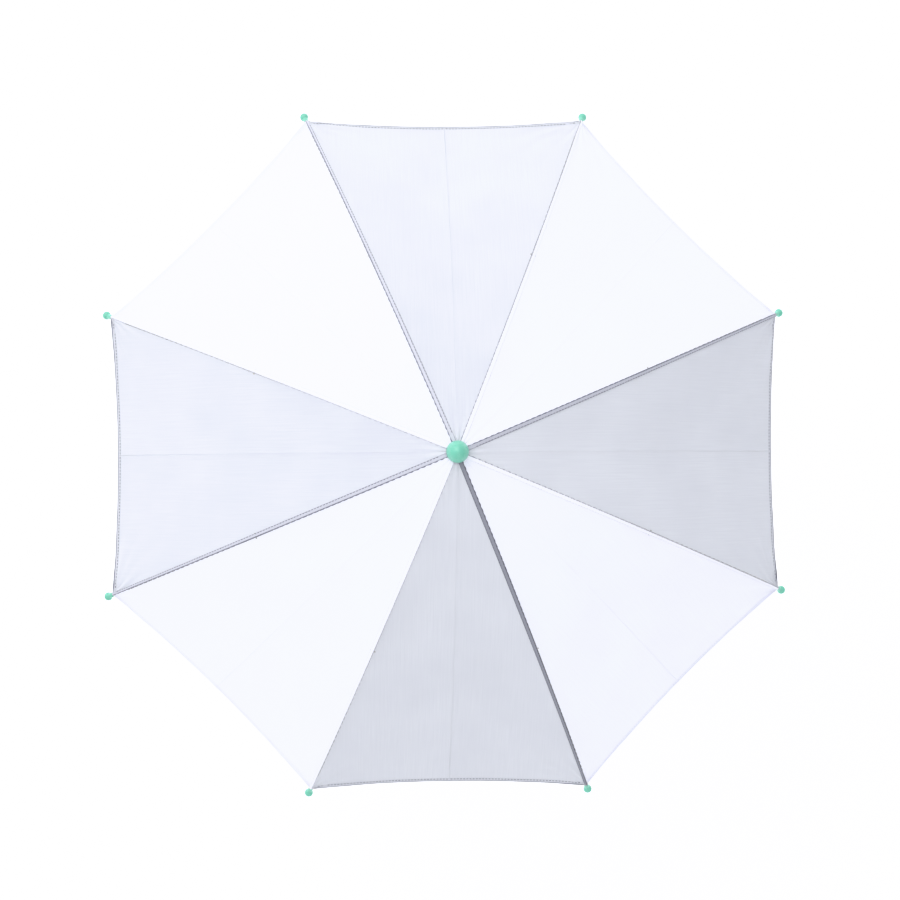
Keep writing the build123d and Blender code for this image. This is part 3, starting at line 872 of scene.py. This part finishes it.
# %% Plastics
def moulded(name, base, deep, roughness, depth, coat):
    """Moulded plastic. deep is its darker tone, depth how much light sinks in, coat its gloss."""
    material, tree, shader = new_material(name, base, roughness, ior=1.49)
    place = add_node(tree, "ShaderNodeTexCoord").outputs["Object"]
    flow = add_node(tree, "ShaderNodeTexNoise", Vector=place, Scale=60.0, Detail=2.0)
    ramp = add_node(tree, "ShaderNodeValToRGB", Fac=flow.outputs["Fac"])
    set_ramp(ramp, [(0.3, deep), (0.62, base)])
    tree.links.new(ramp.outputs["Color"], shader.inputs["Base Color"])
    rub = add_node(tree, "ShaderNodeTexNoise", Vector=place, Scale=900.0, Detail=4.0)
    polish = add_node(
        tree, "ShaderNodeMapRange", in0=rub.outputs["Fac"], in3=roughness * 0.8, in4=roughness * 1.35
    )
    tree.links.new(polish.outputs["Result"], shader.inputs["Roughness"])
    skin = add_node(tree, "ShaderNodeTexNoise", Vector=place, Scale=1 / (2.5 * MM), Detail=1.0)
    bump = add_node(tree, "ShaderNodeBump", Height=skin.outputs["Fac"], Strength=0.08, Distance=0.1 * MM)
    tree.links.new(bump.outputs["Normal"], shader.inputs["Normal"])
    shader.inputs["Subsurface Weight"].default_value = depth
    shader.inputs["Subsurface Radius"].default_value = (0.5, 1.0, 0.8)
    shader.inputs["Subsurface Scale"].default_value = 1.2 * MM
    shader.inputs["Coat Weight"].default_value = coat
    shader.inputs["Coat Roughness"].default_value = 0.08
    return material


def plated(name, base, worn, roughness, grain):
    """Plated or bare steel, with faint cloudy spots and a fine uneven polish one grain wide."""
    material, tree, shader = new_material(name, base, roughness, metallic=1.0)
    place = add_node(tree, "ShaderNodeTexCoord").outputs["Object"]
    spots = add_node(tree, "ShaderNodeTexNoise", Vector=place, Scale=220.0, Detail=5.0)
    ramp = add_node(tree, "ShaderNodeValToRGB", Fac=spots.outputs["Fac"])
    set_ramp(ramp, [(0.35, worn), (0.6, base)])
    tree.links.new(ramp.outputs["Color"], shader.inputs["Base Color"])
    fine = add_node(tree, "ShaderNodeTexNoise", Vector=place, Scale=1 / grain, Detail=2.0)
    polish = add_node(
        tree, "ShaderNodeMapRange", in0=fine.outputs["Fac"], in3=roughness * 0.7, in4=roughness * 1.4
    )
    tree.links.new(polish.outputs["Result"], shader.inputs["Roughness"])
    bump = add_node(tree, "ShaderNodeBump", Height=fine.outputs["Fac"], Strength=0.1, Distance=0.02 * MM)
    tree.links.new(bump.outputs["Normal"], shader.inputs["Normal"])
    return material


mint = moulded("moulded_polypropylene_mint", "#70C4AE", "#68BBA4", 0.27, 0.12, 0.25)
acetal = moulded("moulded_acetal_white", "#EFF0F2", "#E8E9EC", 0.34, 0.15, 0.0)
nickel = plated("nickel_plated_steel", "#BFBFBC", "#B6B5B2", 0.24, 0.8 * MM)
spring = plated("blued_spring_steel", "#8E9197", "#74777E", 0.32, 0.6 * MM)
finish_of_slot = {
    "mint_plastic": mint,
    "white_plastic": acetal,
    "plated_steel": nickel,
    "spring_steel": spring,
    "grey_fabric": grey_cloth,
    "white_fabric": white_cloth,
}

# %% Finishes on the CAD nodes
slot_of_node = {part["node"]: part["material_slot"] for part in frame["record"]["subparts"]}
for name, node in nodes.items():
    node.data.materials.clear()
    node.data.materials.append(finish_of_slot[slot_of_node[name]])
print(f"finished {len(nodes)} CAD nodes in {len(set(slot_of_node.values()))} finishes")

# %% [markdown]
# ## Floor, light and camera
#
# The umbrella stands over a white floor in soft daylight-coloured studio light. The world gives
# a wide fill that is brightest overhead, a little to the left and behind, and weakest low on the
# other side. Large soft lamps on the left and behind shape the gores, and one in front lifts the
# shaded ones. The camera is far above with a long lens, so the perspective is weak.

# %% Floor
FLOOR_DROP = 3 * MM
floor_height = cad_box[0][2] - FLOOR_DROP
FLOOR_HALF = 60.0
floor_mesh = bpy.data.meshes.new("floor")
corner = FLOOR_HALF * np.array([[-1, -1], [1, -1], [1, 1], [-1, 1]])
floor_mesh.from_pydata([(x, y, floor_height) for x, y in corner.tolist()], [], [(0, 1, 2, 3)])
floor = bpy.data.objects.new("floor", floor_mesh)
bpy.context.scene.collection.objects.link(floor)
paper, _, paper_shader = new_material("white_seamless_paper", "#FDFDFE", 0.9)
paper_shader.inputs["Emission Color"].default_value = colour("#FFFFFF")
PAPER_GLOW = 0.68
paper_shader.inputs["Emission Strength"].default_value = PAPER_GLOW
floor_mesh.materials.append(paper)

# %% World and lamps
world = bpy.data.worlds.new("studio")
bpy.context.scene.world = world
world.use_nodes = True
background = world.node_tree.nodes["Background"]
background.inputs["Color"].default_value = colour("#FFFFFF")
FAR_LIGHT, NEAR_LIGHT = 0.15, 1.16
BRIGHT_SIDE = (-0.22, 0.22, 0.95)
tree = world.node_tree
sky = add_node(tree, "ShaderNodeTexCoord").outputs["Generated"]
dot_product = {"operation": "DOT_PRODUCT"}
facing = add_node(tree, "ShaderNodeVectorMath", dot_product, in0=sky, in1=BRIGHT_SIDE).outputs["Value"]
glow = add_node(tree, "ShaderNodeMapRange", in0=facing, in1=-0.3, in2=1.0, in3=FAR_LIGHT, in4=NEAR_LIGHT)
tree.links.new(glow.outputs["Result"], background.inputs["Strength"])
target = np.array([0.0, 0.0, float(tip[1])])


def soft_lamp(name, azimuth, elevation, distance, size, power):
    """A square area lamp aimed at the cover, placed by its azimuth and elevation in degrees."""
    a, e = math.radians(azimuth), math.radians(elevation)
    direction = np.array([math.cos(e) * math.cos(a), math.cos(e) * math.sin(a), math.sin(e)])
    lamp_data = bpy.data.lights.new(name, "AREA")
    lamp_data.shape = "SQUARE"
    lamp_data.size = size
    lamp_data.energy = power
    lamp = bpy.data.objects.new(name, lamp_data)
    lamp.location = (target + distance * direction).tolist()
    lamp.rotation_euler = Vector(direction.tolist()).to_track_quat("Z", "Y").to_euler()
    bpy.context.scene.collection.objects.link(lamp)


soft_lamp("key", 135, 45, 3.0, 1.6, 25)
soft_lamp("window", 138, 13, 3.0, 0.7, 3)
soft_lamp("back", 95, 35, 3.2, 1.6, 15)
soft_lamp("front", 285, 35, 3.2, 1.8, 16)
print("floor, world and four lamps")

# %% [markdown]
# White cloth on a white floor needs a gentle tone curve, as a camera has. Greys stay as they
# are, bright cloth is held just under white, and only the floor reaches pure white. Each point
# gives a light and the tone that it is shown as. Bright tones also get a little more blue and
# less red, which is how brightened cloth looks. The points are joined by straight lines.

# %% Tone curve
view = bpy.context.scene.view_settings
view.view_transform = "Standard"
view.use_curve_mapping = True
tone_curve = view.curve_mapping
BRIGHTEST = 2.0
tone_curve.white_level = (BRIGHTEST, BRIGHTEST, BRIGHTEST)
red, _, blue, combined = tone_curve.curves
tone_points = [(0.5, 0.5), (0.86, 0.866), (0.95, 0.93), (1.1, 0.964), (1.35, 0.982), (1.8, 1.0)]
blue_points = [(0.86, 0.86), (0.95, 1.08), (1.0, 1.4), (1.1, 1.6), (1.3, 1.72), (1.6, 1.85)]
red_points = [(0.9, 0.9), (1.1, 1.02), (1.2, 1.15), (1.4, 1.38)]
for light, shown in tone_points:
    combined.points.new(light / BRIGHTEST, shown)
for light, raised in blue_points:
    blue.points.new(light / BRIGHTEST, raised / BRIGHTEST)
for light, lowered in red_points:
    red.points.new(light / BRIGHTEST, lowered / BRIGHTEST)
for curve in (red, blue, combined):
    for point in curve.points:
        point.handle_type = "VECTOR"
tone_curve.update()
print(f"tone curves with {len(combined.points)}, {len(blue.points)} and {len(red.points)} points")

# %% Camera
CAMERA_DISTANCE = 3.0
LENS_MM = 113.4
turn_z, turn_y, turn_x = math.radians(0.39), math.radians(3.35), math.radians(-0.59)


def rotation(axis, angle):
    """3 x 3 matrix of a right-hand turn about x, y or z."""
    c, s = math.cos(angle), math.sin(angle)
    first, second = [(1, 2), (2, 0), (0, 1)]["xyz".index(axis)]
    matrix = np.eye(3)
    matrix[first, first] = matrix[second, second] = c
    matrix[first, second], matrix[second, first] = -s, s
    return matrix


to_camera = rotation("z", turn_z) @ rotation("y", turn_y) @ rotation("x", turn_x)
slide_right, slide_up = 4.1 * MM, 3.8 * MM
eye = target + CAMERA_DISTANCE * to_camera[2] + slide_right * to_camera[0] + slide_up * to_camera[1]
camera_data = bpy.data.cameras.new("camera")
camera_data.lens = LENS_MM
camera_data.sensor_width = 36.0
camera = bpy.data.objects.new("camera", camera_data)
placing = np.eye(4)
placing[:3, :3] = to_camera.T
placing[:3, 3] = eye
camera.matrix_world = Matrix(placing.tolist())
bpy.context.scene.collection.objects.link(camera)
bpy.context.scene.camera = camera
print("camera at", np.round(eye, 3).tolist())
